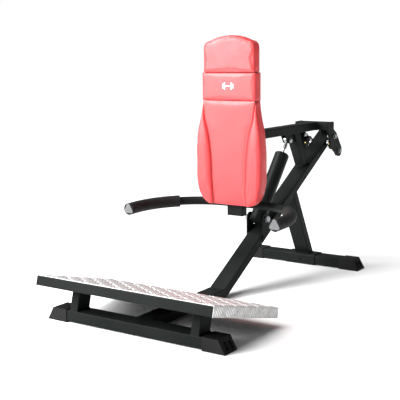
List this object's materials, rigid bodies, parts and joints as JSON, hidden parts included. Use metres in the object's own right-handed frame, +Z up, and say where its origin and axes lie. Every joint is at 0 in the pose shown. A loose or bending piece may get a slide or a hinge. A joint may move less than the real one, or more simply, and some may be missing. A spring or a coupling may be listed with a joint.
{
  "type": "leg press machine",
  "caption": "Standing squat and leg press trainer: sloped tread platform, raked beam frame, hinged lever arm with back pad and handlebar, hydraulic cylinder",
  "frame": {"origin": "on the floor, under the middle of the machine's bounding box", "axes": "+X to the right seen from the front of the platform, +Y from the platform to the pivot at the rear, +Z up"},
  "size_m": [0.862, 1.762, 1.144],
  "materials": {
    "frame_black": "satin powder coat",
    "foot_plastic": "fine moulded grain",
    "plug_plastic": "moulded",
    "tread_aluminium": "rolled, worn on the raised pattern",
    "zinc_steel": "zinc plated",
    "black_rubber": "matt",
    "bearing_cast": "painted black",
    "nipple_brass": "turned",
    "grip_rubber": "matt",
    "grip_cap": "smooth",
    "board_wood": "plywood",
    "red_vinyl": "fine grain",
    "cylinder_black": "satin",
    "rod_chrome": "polished"
  },
  "bodies": {
    "frame": {"front_cross_tube": "frame_black", "front_foot_caps": "foot_plastic", "platform_posts": "frame_black", "platform_front_bar": "frame_black", "platform_rear_bars": "frame_black", "platform_bearers": "frame_black", "checker_plate": "tread_aluminium", "base_beam": "frame_black", "main_beam": "frame_black", "beam_end_cap": "plug_plastic", "pivot_boss": "frame_black", "pivot_shaft": "zinc_steel", "bearing_inserts": "zinc_steel", "upper_stop_post": "frame_black", "upper_stop_bumper": "black_rubber", "rear_leg": "frame_black", "rear_sleeve": "frame_black", "sleeve_screw": "frame_black", "rear_cross_tube": "frame_black", "rear_foot_caps": "foot_plastic", "clevis_plates": "frame_black", "clevis_bolt": "zinc_steel", "clevis_nut": "zinc_steel", "clevis_washers": "zinc_steel"},
    "arm": {"lever_arm": "frame_black", "head_box": "frame_black", "head_plates": "frame_black", "bearing_housings": "bearing_cast", "bearing_bolts": "zinc_steel", "bearing_nuts": "zinc_steel", "grease_nipples": "nipple_brass", "stop_tube": "frame_black", "stop_bumper": "black_rubber", "rod_bracket": "frame_black", "rod_bolt": "zinc_steel", "rod_nut": "zinc_steel", "mast": "frame_black", "mast_end_caps": "plug_plastic", "handlebar": "frame_black", "handle_grips": "grip_rubber", "grip_end_caps": "grip_cap", "pad_board": "board_wood", "pad_bolts": "zinc_steel", "back_cushion": "red_vinyl", "head_cushion": "red_vinyl", "pad_band": "red_vinyl"},
    "cylinder": {"cylinder_base": "cylinder_black", "cylinder_bushes": "nipple_brass", "cylinder_barrel": "cylinder_black", "cylinder_gland": "cylinder_black"},
    "rod": {"piston": "zinc_steel", "piston_rod": "rod_chrome", "rod_eye": "zinc_steel"}
  },
  "joints": [
    {"name": "arm_hinge", "type": "hinge", "parent": "frame", "child": "arm", "pos_m": [0, 0.79572, 0.60164], "axis": [-1, 0, 0], "range_deg": [0, 30]},
    {"name": "cylinder_pivot", "type": "hinge", "parent": "frame", "child": "cylinder", "pos_m": [0, 0.15672, 0.304], "axis": [1, 0, 0], "range_deg": [0, 6]},
    {"name": "rod_slide", "type": "slide", "parent": "cylinder", "child": "rod", "axis": [0, 0.6395, 0.7688], "range_m": [0, 0.182]}
  ],
  "couplings": [
    {"joint": "cylinder_pivot", "follows": "arm_hinge", "ratio": 0.17861},
    {"joint": "rod_slide", "follows": "arm_hinge", "m_per_rad": 0.3428}
  ]
}
